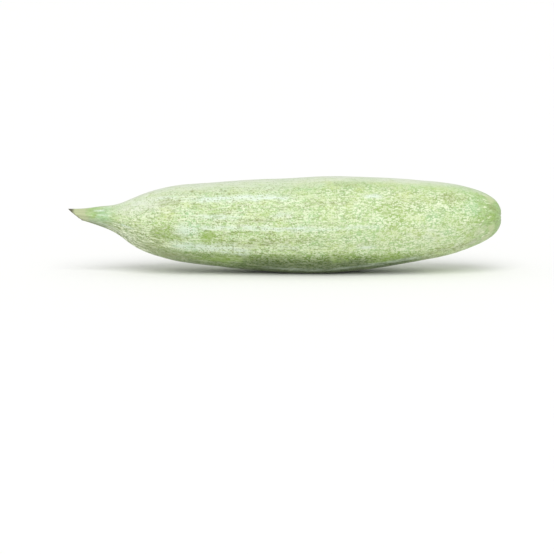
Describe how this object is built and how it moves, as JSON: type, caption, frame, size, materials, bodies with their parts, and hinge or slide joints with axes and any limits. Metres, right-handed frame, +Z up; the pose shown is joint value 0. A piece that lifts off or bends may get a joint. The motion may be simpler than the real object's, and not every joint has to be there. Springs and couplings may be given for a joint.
{
  "type": "snake gourd",
  "caption": "Whole short snake gourd, as picked: long pale green fruit with a slim neck, a slant-cut stalk stub and a blunt blossom end, lying on its belly.",
  "frame": {"origin": "on the surface that the gourd lies on, under the middle of its bounding box", "axes": "+X along the fruit from the stalk to the blossom end, +Z up, +Y to the side it bows towards"},
  "size_m": [0.25, 0.0568, 0.0553],
  "materials": {
    "rind": null
  },
  "bodies": {
    "root": {"snake_gourd": "rind"}
  },
  "joints": []
}
